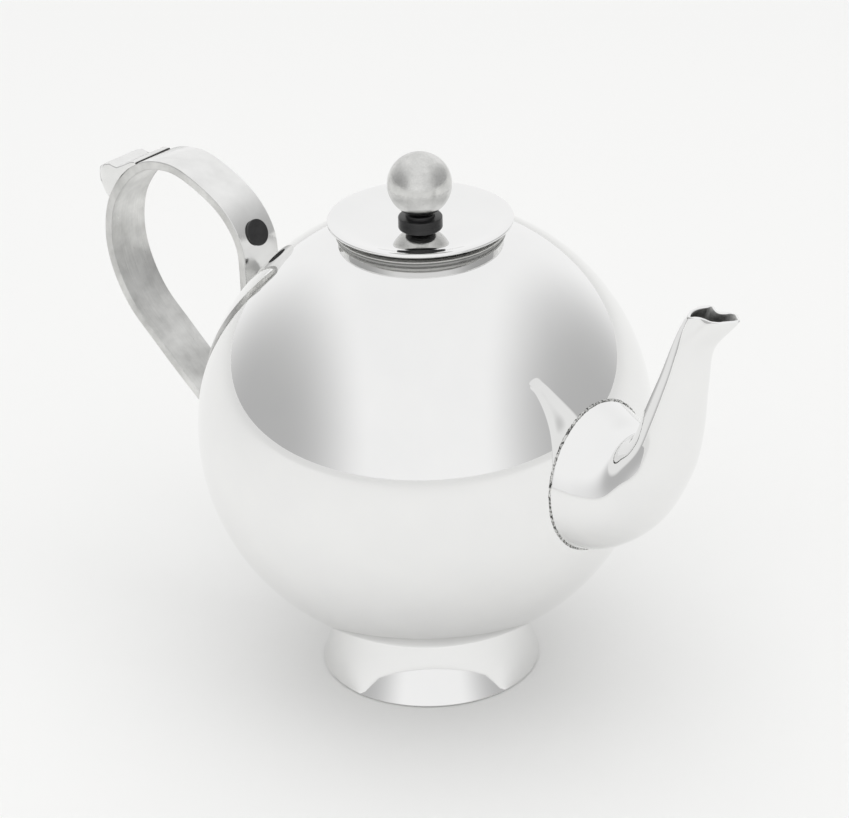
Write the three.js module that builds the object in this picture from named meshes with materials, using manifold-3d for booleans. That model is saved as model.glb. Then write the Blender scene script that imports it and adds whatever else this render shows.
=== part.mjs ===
// Round teapot in polished stainless steel: a ball-shaped pot on a flared foot, a swan-neck spout,
// a bent strap handle with a thumb rest, a lift-out tea basket and a flat lid with a ball knob.
// Millimetres, +Z up, +X towards the spout. The model is drawn about the pot's own upright axis,
// with the table at z = 0, and the last lines centre its bounding box on the origin in X.

import * as THREE from 'three';
import { mergeVertices } from 'three/addons/utils/BufferGeometryUtils.js';
import Module from 'manifold-3d';

const wasm = await Module();
wasm.setup();

// ---- driving dimensions ----

// pot body: two deep-drawn halves welded at the widest line
const bodyRadius = 72;
const bodyHalfHeight = 70.9;
const bodyLift = 13;
const bodyWall = 1;

// foot: a spun cone with an open underside
const footBaseRadius = 35.3;
const footTopRadius = 29.7;
const footWall = 1.4;

// neck collar, the ring that the basket and the lid sit in
const neckRadius = 26.3;
const neckWall = 2;
const neckRise = 1.3;
const neckDrop = 5;
const neckStep = 0.8;

// tea basket
const basketClearance = 2.3;
const basketWall = 0.6;
const basketDepth = 88;
const basketRimOverhang = 0.5;
const basketRimThick = 0.6;
const slotColumns = 12;
const slotRows = 4;
const slotWidth = 1.8;
const slotHeight = 11;
const slotPitch = 17;
const baseHoleRadius = 2;
const baseHoleRings = 2;

// lid
const lidOverhang = 2.5;
const lidThick = 1;
const lidDish = 1.4;
const lidFlatRadius = 9;
const lidStandoff = 2.1;
const lidSkirtInset = 1.3;
const lidPlugGap = 0.7;
const lidPlugDepth = 10;
const lidPlugWall = 0.8;

// knob: a steel ball on an insulating washer, held by a screw from below
const knobRadius = 10;
const knobFlatRadius = 2.9;
const knobWasherRadius = 6.85;
const knobWasherThick = 2.9;
const screwRadius = 2;
const screwHeadRadius = 3.6;
const screwHeadThick = 2.2;
const screwEngage = 8;
const spreadWasherRadius = 6;
const spreadWasherThick = 1;

// spout
const spoutRadius = 23.6;
const spoutAxisRise = 3.2;
const spoutCentreRise = 3.7;
const spoutWall = 1;
const spoutPortMargin = 5.6;

// handle strap, thumb rest and plug
const strapWidth = 16;
const strapThick = 3;
const restStep = 1.2;
const restNose = 9.8;
const plugRadius = 4.4;
const plugProud = 0.8;
const plugShankRadius = 2.8;

// clearances
const weldGap = 0.3;
const fitGap = 0.1;

// facets round a full turn
const roundBody = 48;
const roundSmall = 32;

// ---- derived places ----

const bodyCentreZ = bodyLift + bodyHalfHeight;
const neckBore = neckRadius - neckWall;
const basketRadius = neckBore - basketClearance;
const basketRimRadius = neckRadius + basketRimOverhang;
const lidSkirtRadius = neckRadius - lidSkirtInset;
const lidRadius = neckRadius + lidOverhang;
const spoutCentreZ = bodyCentreZ + spoutCentreRise;
const spoutPortRadius = spoutRadius - spoutPortMargin;
const neckTopZ = bodyTopZ(neckRadius, 0) + neckRise;
const basketRimTopZ = neckTopZ + basketRimThick;
const lidUnderZ = basketRimTopZ + lidStandoff;
const lidRimTopZ = lidUnderZ + lidThick;
const lidCentreTopZ = lidRimTopZ - lidDish;
const knobSeatZ = lidCentreTopZ + knobWasherThick;
const knobCentreZ = knobSeatZ + Math.sqrt(knobRadius ** 2 - knobFlatRadius ** 2);

// ---- surfaces of the body ----

function bodyTopZ(radius, outwards) {
  const share = radius / (bodyRadius + outwards);
  return bodyCentreZ + (bodyHalfHeight + outwards) * Math.sqrt(1 - share * share);
}

function bodySideRadius(height) {
  const rise = (height - bodyCentreZ) / bodyHalfHeight;
  return bodyRadius * Math.sqrt(1 - rise * rise);
}

function bodyUnderZ(radius, outwards) {
  return 2 * bodyCentreZ - bodyTopZ(radius, outwards);
}

// points of the body's meridian between two radii on its upper (side = 1) or lower (side = -1) half
function meridian(fromRadius, toRadius, outwards, side, steps) {
  const a = bodyRadius + outwards;
  const b = bodyHalfHeight + outwards;
  const from = Math.acos(Math.min(1, fromRadius / a));
  const to = Math.acos(Math.min(1, toRadius / a));
  const points = [];
  for (let i = 0; i <= steps; i += 1) {
    const angle = from + (to - from) * (i / steps);
    const radius = Math.abs(Math.cos(angle)) < 1e-9 ? 0 : a * Math.cos(angle);
    points.push([radius, bodyCentreZ + side * b * Math.sin(angle)]);
  }
  return points;
}

// ---- building blocks ----

// a turned piece: [radius, height] points that go up the outside and down the inside
function turned(points, facets) {
  const profile = points.map(([radius, height]) => new THREE.Vector2(radius, height));
  const geometry = new THREE.LatheGeometry(profile, facets);
  geometry.rotateX(Math.PI / 2);
  return geometry;
}

function closedLoop(points) {
  return [...points, points[0]];
}

// a flat outline in the XZ plane, pulled out to both sides of Y = 0
function slab(points, width) {
  const shape = new THREE.Shape(points.map(([x, z]) => new THREE.Vector2(x, z)));
  const geometry = new THREE.ExtrudeGeometry(shape, { depth: width, bevelEnabled: false, steps: 1 });
  geometry.translate(0, 0, -width / 2);
  geometry.rotateX(Math.PI / 2);
  return geometry;
}

// a flat outline in the XY plane, pulled up between two heights
function column(points, fromZ, toZ) {
  const shape = new THREE.Shape(points.map(([x, y]) => new THREE.Vector2(x, y)));
  const geometry = new THREE.ExtrudeGeometry(shape, {
    depth: toZ - fromZ,
    bevelEnabled: false,
    steps: 1,
  });
  geometry.translate(0, 0, fromZ);
  return geometry;
}

function toSolid(geometry) {
  const bare = geometry.clone();
  bare.deleteAttribute('normal');
  bare.deleteAttribute('uv');
  const merged = mergeVertices(bare, 1e-4);
  const vertProperties = new Float32Array(merged.attributes.position.array);
  const corners = Array.from(merged.index.array);
  const triVerts = [];
  for (let i = 0; i < corners.length; i += 3) {
    const [a, b, c] = corners.slice(i, i + 3);
    if (a !== b && b !== c && c !== a) {
      triVerts.push(a, b, c);
    }
  }
  const mesh = new wasm.Mesh({
    numProp: 3,
    vertProperties,
    triVerts: new Uint32Array(triVerts),
  });
  return new wasm.Manifold(mesh);
}

function toGeometry(solid) {
  const mesh = solid.getMesh();
  const geometry = new THREE.BufferGeometry();
  const positions = new Float32Array(mesh.vertProperties);
  geometry.setAttribute('position', new THREE.BufferAttribute(positions, 3));
  geometry.setIndex(new THREE.BufferAttribute(new Uint32Array(mesh.triVerts), 1));
  geometry.computeVertexNormals();
  return geometry;
}

// the whole outer shape of the body as one solid, used to trim what is welded to it
function bodySolid(outwards) {
  const a = bodyRadius + outwards;
  const lower = meridian(0, a, outwards, -1, 26);
  const upper = meridian(a, 0, outwards, 1, 26).slice(1);
  return toSolid(turned([...lower, ...upper], roundBody));
}

// ---- pot body and port for the spout ----

const spoutTilt = THREE.MathUtils.degToRad(spoutAxisRise);
const spoutAxis = new THREE.Vector2(Math.cos(spoutTilt), Math.sin(spoutTilt));
const spoutBase = new THREE.Vector2(ringSeatX(spoutCentreZ, spoutRadius), spoutCentreZ);

// how far out the plane of a ring of the given radius lies when the ring rests on the body's side
function ringSeatX(height, ringRadius) {
  return Math.sqrt(bodySideRadius(height) ** 2 - ringRadius ** 2);
}

const portLength = 2.5 * spoutPortRadius;
const portGeometry = new THREE.CylinderGeometry(spoutPortRadius, spoutPortRadius, portLength, 40);
portGeometry.rotateZ(-Math.PI / 2);
portGeometry.rotateY(-spoutTilt);
portGeometry.translate(spoutBase.x, 0, spoutBase.y);
const port = toSolid(portGeometry);

const innerEquator = bodyRadius - bodyWall;
const lowerHalf = toSolid(turned([
  ...meridian(0, bodyRadius, 0, -1, 8),
  ...meridian(innerEquator, 0, -bodyWall, -1, 8),
], roundBody));
const upperHalf = toSolid(turned(closedLoop([
  ...meridian(bodyRadius, neckRadius - neckStep, 0, 1, 8),
  ...meridian(neckRadius - neckStep, innerEquator, -bodyWall, 1, 8),
]), roundBody));
const bodyLowerGeometry = toGeometry(lowerHalf.subtract(port));
const bodyUpperGeometry = toGeometry(upperHalf.subtract(port));

// ---- foot ----

const footGeometry = turned(closedLoop([
  [footBaseRadius, 0],
  [footTopRadius, bodyUnderZ(footTopRadius, weldGap)],
  [footTopRadius - footWall, bodyUnderZ(footTopRadius - footWall, weldGap)],
  [footBaseRadius - footWall, 0],
]), roundBody);

// ---- neck collar: a lip on the body and a sleeve through the opening ----

const sleeveRadius = neckRadius - neckStep - fitGap;
const collarGeometry = turned(closedLoop([
  [sleeveRadius, neckTopZ - neckRise - neckDrop],
  [sleeveRadius, bodyTopZ(sleeveRadius, weldGap)],
  [neckRadius, bodyTopZ(neckRadius, weldGap)],
  [neckRadius, neckTopZ],
  [neckBore, neckTopZ],
  [neckBore, neckTopZ - neckRise - neckDrop],
]), roundBody);

// ---- spout: a round duct whose section leans, narrows and flattens along its way ----

// each station: way out from the base ring and height above its centre, lean of the section from
// upright in degrees, height and width of the section
const spoutStations = [
  { out: -4, up: -0.5, lean: 3.2, tall: 46.6, wide: 47 },
  { out: 0, up: -0.3, lean: 3.2, tall: 46.6, wide: 47 },
  { out: 7.8, up: -0.6, lean: 6.8, tall: 40.4, wide: 42 },
  { out: 16.4, up: 2.4, lean: 19.1, tall: 30.2, wide: 36 },
  { out: 22.6, up: 10.2, lean: 41.5, tall: 22, wide: 30.6 },
  { out: 26.3, up: 18.1, lean: 62.9, tall: 19.1, wide: 24.8 },
  { out: 29.1, up: 28.4, lean: 73.6, tall: 18.1, wide: 19.4 },
  { out: 32.4, up: 41.9, lean: 81, tall: 14.6, wide: 14.6 },
  { out: 36.1, up: 55.2, lean: 76.7, tall: 12.2, wide: 11.6 },
  { out: 43.2, up: 65.6, lean: 92, tall: 16.6, wide: 9.6 },
];

function spoutCurve(key) {
  const points = spoutStations.map((station, i) => new THREE.Vector3(i, station[key], 0));
  return (t) => {
    const last = points.length - 1;
    const i = Math.min(last - 1, Math.floor(t * last));
    const f = t * last - i;
    const before = points[Math.max(0, i - 1)].y;
    const after = points[Math.min(last, i + 2)].y;
    const from = points[i].y;
    const to = points[i + 1].y;
    const startSlope = i === 0 ? to - from : (to - before) / 2;
    const endSlope = i === last - 1 ? to - from : (after - from) / 2;
    const f2 = f * f;
    const f3 = f2 * f;
    return (
      from * (2 * f3 - 3 * f2 + 1) +
      startSlope * (f3 - 2 * f2 + f) +
      to * (3 * f2 - 2 * f3) +
      endSlope * (f3 - f2)
    );
  };
}

const spoutOut = spoutCurve('out');
const spoutUp = spoutCurve('up');
const spoutLean = spoutCurve('lean');
const spoutTall = spoutCurve('tall');
const spoutWide = spoutCurve('wide');

// carries a straight unit-high duct of unit radius on to the spout's run
function alongSpout(geometry) {
  const position = geometry.attributes.position;
  const ringScale = spoutRadius / 23.6;
  for (let i = 0; i < position.count; i += 1) {
    const t = THREE.MathUtils.clamp(position.getZ(i), 0, 1);
    const radius = Math.hypot(position.getX(i), position.getY(i));
    const inset = (1 - radius) * 10 * spoutWall;
    const angle = Math.atan2(position.getY(i), position.getX(i));
    const lean = THREE.MathUtils.degToRad(spoutLean(t));
    const swell = 1 + (ringScale - 1) * Math.max(0, 1 - 2 * t);
    const halfTall = (spoutTall(t) / 2) * swell - inset;
    const mouth = THREE.MathUtils.smoothstep(t, 0.86, 1);
    const pinch = 1 + mouth * (mouthWidth(Math.cos(angle)) - 1);
    const halfWide = ((spoutWide(t) / 2) * swell - inset) * pinch;
    const across = halfTall * Math.cos(angle);
    const x = spoutBase.x + spoutOut(t) - across * Math.sin(lean);
    const z = spoutBase.y + spoutUp(t) + across * Math.cos(lean);
    position.setXYZ(i, x, -halfWide * Math.sin(angle), z);
  }
  return geometry;
}

// the mouth is pinched to a waist, with a fuller lobe behind it and a pouring lip in front;
// seat runs from -1 at the lip to 1 at the back
function mouthWidth(seat) {
  const backLobe = 0.55 * THREE.MathUtils.smoothstep(seat, 0.25, 0.85);
  const waist = 0.38 * Math.exp(-(((seat - 0.12) / 0.26) ** 2));
  const lip = 0.35 * THREE.MathUtils.smoothstep(-seat, 0.5, 1);
  return 1 + backLobe - waist - lip;
}

const spoutSteps = 21;
const ductOutside = [];
const ductInside = [];
for (let i = 0; i <= spoutSteps; i += 1) {
  ductOutside.push([1, i / spoutSteps]);
  ductInside.unshift([0.9, i / spoutSteps]);
}
const ductGeometry = turned(closedLoop([...ductOutside, ...ductInside]), roundSmall);
const spoutSolid = toSolid(alongSpout(ductGeometry)).subtract(bodySolid(weldGap));
const spoutGeometry = toGeometry(spoutSolid);

// ---- handle strap ----

// the strap's centre line, as distance behind the body's back and height above the body's centre;
// its lower end runs on into the body's wall, and the body trims both ends
const strapEndUp = -46;
const strapEndDepth = 3;
const strapEndBack = bodySideRadius(bodyCentreZ + strapEndUp) - strapEndDepth - bodyRadius;
const strapLine = [
  { back: -5.5, up: 4 },
  { back: -2.9, up: 18 },
  { back: -2.9, up: 33 },
  { back: -1.8, up: 44.9 },
  { back: 4.4, up: 54.1 },
  { back: 15.7, up: 61.1 },
  { back: 28, up: 64.6 },
  { back: 41.9, up: 61.2 },
  { back: 54.7, up: 47.2 },
  { back: 57.8, up: 33.8 },
  { back: 55.8, up: 22.1 },
  { back: 49.3, up: 10.3 },
  { back: 38.3, up: 0 },
  { back: 24, up: -12.2 },
  { back: 5, up: -27.1 },
  { back: strapEndBack, up: strapEndUp },
];
const strapSpine = new THREE.CatmullRomCurve3(
  strapLine.map(({ back, up }) => new THREE.Vector3(-bodyRadius - back, 0, bodyCentreZ + up)),
  false,
  'centripetal',
);

// a point raised from the strap's centre line, outwards when rise is positive
function offStrap(share, rise) {
  const point = strapSpine.getPointAt(share);
  const tangent = strapSpine.getTangentAt(share);
  return [point.x + tangent.z * rise, point.z - tangent.x * rise];
}

function strapFace(fromShare, toShare, rise, steps) {
  const points = [];
  for (let i = 0; i <= steps; i += 1) {
    points.push(offStrap(fromShare + (toShare - fromShare) * (i / steps), rise));
  }
  return points;
}

// the share of the strap's length that lies nearest to a place
function strapShareNear(back, up) {
  const target = new THREE.Vector3(-bodyRadius - back, 0, bodyCentreZ + up);
  let best = 0;
  for (let i = 0; i <= 1000; i += 1) {
    const here = strapSpine.getPointAt(i / 1000).distanceTo(target);
    if (here < strapSpine.getPointAt(best).distanceTo(target)) {
      best = i / 1000;
    }
  }
  return best;
}

const plugShare = strapShareNear(-1.9, 46.6);
const plugPoint = strapSpine.getPointAt(plugShare);
const plugTangent = strapSpine.getTangentAt(plugShare);
const plugAngle = Math.atan2(plugTangent.x, plugTangent.z);

function onPlugAxis(geometry) {
  geometry.rotateY(plugAngle);
  geometry.translate(plugPoint.x, 0, plugPoint.z);
  return geometry;
}

const halfThick = strapThick / 2;
const plugHole = new THREE.CylinderGeometry(
  plugShankRadius + fitGap,
  plugShankRadius + fitGap,
  3 * strapThick,
  24,
);
plugHole.rotateZ(-Math.PI / 2);
const strapOutline = [
  ...strapFace(0, 1, halfThick, 60),
  ...strapFace(1, 0, -halfThick, 60),
];
const strapSolid = toSolid(slab(strapOutline, strapWidth))
  .subtract(bodySolid(weldGap))
  .subtract(toSolid(onPlugAxis(plugHole)));
const strapGeometry = toGeometry(strapSolid);

// ---- thumb rest: a solid beak brazed on the strap's shoulder, its nose rounded in plan ----

const restStart = strapShareNear(42.5, 60.9);
const restEnd = strapShareNear(55.4, 46);
const restLength = restEnd - restStart;
const restFoot = halfThick + fitGap;
const restOutline = [
  ...strapFace(restEnd, restStart, restFoot, 10),
  offStrap(restStart, restFoot + restStep),
  offStrap(restStart + 0.3 * restLength, restFoot + restStep + 0.6),
  offStrap(restStart + 0.5 * restLength, restFoot + 0.4 * restNose),
  offStrap(restStart + 0.68 * restLength, restFoot + 0.86 * restNose),
  offStrap(restStart + 0.78 * restLength, restFoot + restNose),
  offStrap(restStart + 0.88 * restLength, restFoot + 0.88 * restNose),
  offStrap(restStart + 0.95 * restLength, restFoot + 0.5 * restNose),
];
const restTop = restOutline.map(([, z]) => z);
const restX = restOutline.map(([x]) => x);
const noseX = Math.min(...restX);
const noseLength = restNose;
const tongue = [[Math.max(...restX) + 1, -strapWidth / 2]];
for (let i = 0; i <= 16; i += 1) {
  const angle = -Math.PI / 2 - Math.PI * (i / 16);
  tongue.push([noseX + noseLength + noseLength * Math.cos(angle), (strapWidth / 2) * Math.sin(angle)]);
}
tongue.push([Math.max(...restX) + 1, strapWidth / 2]);
const restSolid = toSolid(slab(restOutline, strapWidth)).intersect(
  toSolid(column(tongue.reverse(), Math.min(...restTop) - 1, Math.max(...restTop) + 1)),
);
const restGeometry = toGeometry(restSolid);

// ---- plug in the strap ----

const plugGeometry = turned([
  [0, -halfThick],
  [plugShankRadius, -halfThick],
  [plugShankRadius, halfThick + fitGap],
  [plugRadius, halfThick + fitGap],
  [plugRadius, halfThick + fitGap + 0.6 * plugProud],
  [plugRadius - 0.4 * plugProud, halfThick + fitGap + plugProud],
  [0, halfThick + fitGap + plugProud],
], 24);
plugGeometry.rotateY(Math.PI / 2);
onPlugAxis(plugGeometry);

// ---- tea basket ----

const basketBottomZ = basketRimTopZ - basketDepth;
const basketRimGeometry = turned(closedLoop([
  [basketRimRadius, neckTopZ],
  [basketRimRadius, basketRimTopZ],
  [basketRadius, basketRimTopZ],
  [basketRadius, neckTopZ],
]), roundBody);

const basketTube = toSolid(turned(closedLoop([
  [basketRadius - fitGap, basketBottomZ + basketWall],
  [basketRadius - fitGap, basketRimTopZ],
  [basketRadius - fitGap - basketWall, basketRimTopZ],
  [basketRadius - fitGap - basketWall, basketBottomZ + basketWall],
]), roundSmall));
let slots = null;
const slotTopZ = neckTopZ - neckRise - neckDrop - slotHeight / 2 - 6;
for (let row = 0; row < slotRows; row += 1) {
  for (let i = 0; i < slotColumns / 2; i += 1) {
    const slotGeometry = new THREE.BoxGeometry(3 * basketRadius, slotWidth, slotHeight);
    slotGeometry.rotateZ((i / slotColumns) * 2 * Math.PI + (Math.PI / slotColumns));
    slotGeometry.translate(0, 0, slotTopZ - row * slotPitch);
    const slot = toSolid(slotGeometry);
    slots = slots === null ? slot : slots.add(slot);
  }
}
const basketTubeGeometry = toGeometry(basketTube.subtract(slots));

let floorSolid = toSolid(turned([
  [0, basketBottomZ],
  [basketRadius - fitGap, basketBottomZ],
  [basketRadius - fitGap, basketBottomZ + basketWall],
  [0, basketBottomZ + basketWall],
], roundSmall));
for (let ring = 1; ring <= baseHoleRings; ring += 1) {
  for (let i = 0; i < 5 * ring; i += 1) {
    const hole = new THREE.CylinderGeometry(baseHoleRadius, baseHoleRadius, 4 * basketWall, 8);
    hole.rotateX(Math.PI / 2);
    const around = (i / (5 * ring)) * 2 * Math.PI;
    const out = (ring * basketRadius) / (baseHoleRings + 1);
    hole.translate(out * Math.cos(around), out * Math.sin(around), basketBottomZ);
    floorSolid = floorSolid.subtract(toSolid(hole));
  }
}
const basketFloorGeometry = toGeometry(floorSolid);

// ---- lid: a shallow dished disc on a ledged skirt, and under it a plug tube inside the basket ----

const screwHole = screwRadius + fitGap;
const lidGeometry = turned(closedLoop([
  [screwHole, lidCentreTopZ - lidThick],
  [lidFlatRadius, lidCentreTopZ - lidThick],
  [lidSkirtRadius, lidUnderZ],
  [lidRadius - 0.4 * lidThick, lidUnderZ],
  [lidRadius, lidUnderZ + 0.4 * lidThick],
  [lidRadius, lidRimTopZ - 0.4 * lidThick],
  [lidRadius - 0.4 * lidThick, lidRimTopZ],
  [lidSkirtRadius, lidRimTopZ - 0.1 * lidDish],
  [lidFlatRadius, lidCentreTopZ],
  [screwHole, lidCentreTopZ],
]), roundBody);

const plugOuter = basketRadius - basketWall - fitGap - lidPlugGap;
const lidSkirtBottomZ = basketRimTopZ + fitGap;
const lidSkirtGeometry = turned(closedLoop([
  [plugOuter - lidPlugWall, lidSkirtBottomZ],
  [lidSkirtRadius, lidSkirtBottomZ],
  [lidSkirtRadius, lidUnderZ - fitGap],
  [lidSkirtRadius - lidPlugWall, lidUnderZ - fitGap],
  [lidSkirtRadius - lidPlugWall, lidSkirtBottomZ + lidPlugWall],
  [plugOuter - lidPlugWall, lidSkirtBottomZ + lidPlugWall],
]), roundBody);
const lidPlugGeometry = turned(closedLoop([
  [plugOuter, lidSkirtBottomZ - lidPlugDepth],
  [plugOuter, lidSkirtBottomZ - fitGap],
  [plugOuter - lidPlugWall, lidSkirtBottomZ - fitGap],
  [plugOuter - lidPlugWall, lidSkirtBottomZ - lidPlugDepth],
]), roundBody);

// ---- knob ----

const knobProfile = [];
const knobStart = Math.asin(knobFlatRadius / knobRadius);
for (let i = 0; i <= 12; i += 1) {
  const angle = knobStart + (Math.PI - knobStart) * (i / 12);
  const radius = i === 12 ? 0 : knobRadius * Math.sin(angle);
  knobProfile.push([radius, knobCentreZ - knobRadius * Math.cos(angle)]);
}
const tapTopZ = knobSeatZ + screwEngage + 1;
const knobGeometry = turned([
  [0, tapTopZ],
  [screwHole, tapTopZ],
  [screwHole, knobSeatZ],
  ...knobProfile,
], roundSmall);

const knobWasherGeometry = turned(closedLoop([
  [knobWasherRadius - 0.3, lidCentreTopZ],
  [knobWasherRadius, lidCentreTopZ + 0.3],
  [knobWasherRadius, knobSeatZ - 0.6],
  [knobWasherRadius - 0.5, knobSeatZ - fitGap],
  [screwHole, knobSeatZ - fitGap],
  [screwHole, lidCentreTopZ],
]), roundSmall);

const spreadTopZ = lidCentreTopZ - lidThick;
const spreadWasherGeometry = turned(closedLoop([
  [spreadWasherRadius, spreadTopZ - spreadWasherThick],
  [spreadWasherRadius, spreadTopZ],
  [screwHole, spreadTopZ],
  [screwHole, spreadTopZ - spreadWasherThick],
]), roundSmall);

const headTopZ = spreadTopZ - spreadWasherThick;
const screwGeometry = turned([
  [0, headTopZ - screwHeadThick],
  [screwHeadRadius - 0.5, headTopZ - screwHeadThick],
  [screwHeadRadius, headTopZ - screwHeadThick + 0.6],
  [screwHeadRadius, headTopZ],
  [screwRadius, headTopZ],
  [screwRadius, knobSeatZ + screwEngage],
  [0, knobSeatZ + screwEngage],
], 24);

// ---- materials ----

const polishedSteel = new THREE.MeshStandardMaterial({ color: 0xdcdddc, roughness: 0.06, metalness: 1 });
const satinSteel = new THREE.MeshStandardMaterial({ color: 0xc4c4c2, roughness: 0.34, metalness: 1 });
const blackPlastic = new THREE.MeshStandardMaterial({ color: 0x17181a, roughness: 0.3, metalness: 0 });

// ---- the teapot ----

const pot = new THREE.Group();
const basket = new THREE.Group();
const lid = new THREE.Group();

function addPiece(group, name, geometry, material) {
  const piece = new THREE.Mesh(geometry, material.clone());
  piece.name = name;
  group.add(piece);
}

addPiece(pot, 'body_lower', bodyLowerGeometry, polishedSteel);
addPiece(pot, 'body_upper', bodyUpperGeometry, polishedSteel);
addPiece(pot, 'foot', footGeometry, polishedSteel);
addPiece(pot, 'neck_collar', collarGeometry, satinSteel);
addPiece(pot, 'spout', spoutGeometry, polishedSteel);
addPiece(pot, 'handle_strap', strapGeometry, satinSteel);
addPiece(pot, 'thumb_rest', restGeometry, satinSteel);
addPiece(pot, 'handle_plug', plugGeometry, blackPlastic);
addPiece(basket, 'basket_rim', basketRimGeometry, satinSteel);
addPiece(basket, 'basket_wall', basketTubeGeometry, satinSteel);
addPiece(basket, 'basket_floor', basketFloorGeometry, satinSteel);
addPiece(lid, 'lid_disc', lidGeometry, polishedSteel);
addPiece(lid, 'lid_skirt', lidSkirtGeometry, satinSteel);
addPiece(lid, 'lid_plug', lidPlugGeometry, satinSteel);
addPiece(lid, 'knob_washer', knobWasherGeometry, blackPlastic);
addPiece(lid, 'knob_ball', knobGeometry, satinSteel);
addPiece(lid, 'spread_washer', spreadWasherGeometry, satinSteel);
addPiece(lid, 'knob_screw', screwGeometry, satinSteel);

const teapot = new THREE.Group();
teapot.add(pot, basket, lid);
const extent = new THREE.Box3().setFromObject(teapot);
teapot.position.x = -(extent.min.x + extent.max.x) / 2;

export default teapot;
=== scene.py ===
import math
import bmesh
import bpy
from mathutils import Matrix, Vector


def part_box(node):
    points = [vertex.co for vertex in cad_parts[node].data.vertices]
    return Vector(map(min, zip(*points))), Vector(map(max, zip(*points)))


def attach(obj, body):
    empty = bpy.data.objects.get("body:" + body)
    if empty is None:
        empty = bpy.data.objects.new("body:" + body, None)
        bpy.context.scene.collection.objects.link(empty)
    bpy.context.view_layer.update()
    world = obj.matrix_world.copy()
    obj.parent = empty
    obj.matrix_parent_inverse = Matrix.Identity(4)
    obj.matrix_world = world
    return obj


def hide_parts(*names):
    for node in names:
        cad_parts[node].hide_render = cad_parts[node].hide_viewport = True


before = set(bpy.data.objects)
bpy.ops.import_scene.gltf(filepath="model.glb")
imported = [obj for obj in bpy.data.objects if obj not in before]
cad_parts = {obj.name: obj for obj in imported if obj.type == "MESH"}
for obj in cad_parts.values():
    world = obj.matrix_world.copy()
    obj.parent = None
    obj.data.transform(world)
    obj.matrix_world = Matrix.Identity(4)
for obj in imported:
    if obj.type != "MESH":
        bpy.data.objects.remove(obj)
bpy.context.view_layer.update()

# ---------------------------------------------------------------------------------------------
# POT BODY. A ball of 1 mm stainless steel, drawn as two deep halves that are welded at the widest
# line, ground flush and buffed to a mirror, so that no seam is left. The neck is cut out of the
# top and a round port out of the front, where the spout goes on.
# ---------------------------------------------------------------------------------------------
MM = 0.001
axis_x = (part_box("foot")[0][0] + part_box("foot")[1][0]) / 2      # the pot's upright axis
body_r = 72 * MM
body_h = 70.9 * MM
body_z = 83.9 * MM
body_wall = 1.0 * MM
neck_cut_r = 25.5 * MM


def start_piece():
    """Nothing is selected and no mesh is open, so the next operator touches only the new piece."""
    if bpy.context.object and bpy.context.object.mode != "OBJECT":
        bpy.ops.object.mode_set(mode="OBJECT")
    bpy.ops.object.select_all(action="DESELECT")
    bpy.context.tool_settings.mesh_select_mode = (True, False, False)


def settle(piece, name, angle=None):
    """The finished mesh is put at the origin with its place in its vertices, and shaded."""
    start_piece()
    bpy.context.view_layer.objects.active = piece
    piece.select_set(True)
    bpy.ops.object.transform_apply(location=True, rotation=True, scale=True)
    if angle is None:
        bpy.ops.object.shade_smooth()
    else:
        bpy.ops.object.shade_smooth_by_angle(angle=math.radians(angle))
    piece.name = name
    piece.data.name = name
    return piece


def apply_all(piece):
    """Every modifier on the piece is applied, from the first to the last."""
    start_piece()
    bpy.context.view_layer.objects.active = piece
    piece.select_set(True)
    for modifier in list(piece.modifiers):
        bpy.ops.object.modifier_apply(modifier=modifier.name)


def select_where(kind, wanted):
    """In edit mode, selects the vertices, edges or faces for which wanted(element) is true."""
    mesh = bpy.context.object.data
    bpy.ops.mesh.select_mode(type={"verts": "VERT", "edges": "EDGE", "faces": "FACE"}[kind])
    bpy.ops.mesh.select_all(action="DESELECT")
    bm = bmesh.from_edit_mesh(mesh)
    for element in getattr(bm, kind):
        if wanted(element):
            element.select_set(True)
    bm.select_flush_mode()
    bmesh.update_edit_mesh(mesh)


start_piece()
bpy.ops.mesh.primitive_uv_sphere_add(segments=192, ring_count=96, radius=body_r, location=(axis_x, 0, body_z))
pot_body = bpy.context.object
bpy.ops.object.mode_set(mode="EDIT")
bpy.ops.mesh.select_all(action="SELECT")
bpy.ops.transform.resize(value=(1, 1, body_h / body_r), center_override=(axis_x, 0, body_z))
neck_cut_z = body_z + body_h * math.sqrt(1 - (neck_cut_r / body_r) ** 2)
bpy.ops.mesh.bisect(plane_co=(axis_x, 0, neck_cut_z), plane_no=(0, 0, 1), clear_outer=True)
bpy.ops.object.mode_set(mode="OBJECT")
wall = pot_body.modifiers.new("sheet", "SOLIDIFY")
wall.thickness = body_wall
wall.offset = -1
wall.use_even_offset = True

spout_rise = math.radians(3.2)
spout_r = 23.6 * MM
spout_z = body_z + 3.7 * MM
spout_x = axis_x + math.sqrt((body_r * math.sqrt(1 - ((spout_z - body_z) / body_h) ** 2)) ** 2 - spout_r ** 2)
start_piece()
bpy.ops.mesh.primitive_cylinder_add(vertices=96, radius=18 * MM, depth=40 * MM,
    location=(spout_x, 0, spout_z), rotation=(0, math.pi / 2 - spout_rise, 0))
port_cutter = bpy.context.object
port = pot_body.modifiers.new("port", "BOOLEAN")
port.operation = "DIFFERENCE"
port.solver = "EXACT"
port.object = port_cutter
apply_all(pot_body)
bpy.data.objects.remove(port_cutter)
settle(pot_body, "pot_body", 40)


def colour(code):
    """An sRGB hex value as the linear colour that shader sockets take."""
    values = [int(code[i:i + 2], 16) / 255 for i in (1, 3, 5)]
    return [v / 12.92 if v <= 0.04045 else ((v + 0.055) / 1.055) ** 2.4 for v in values] + [1.0]


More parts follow.
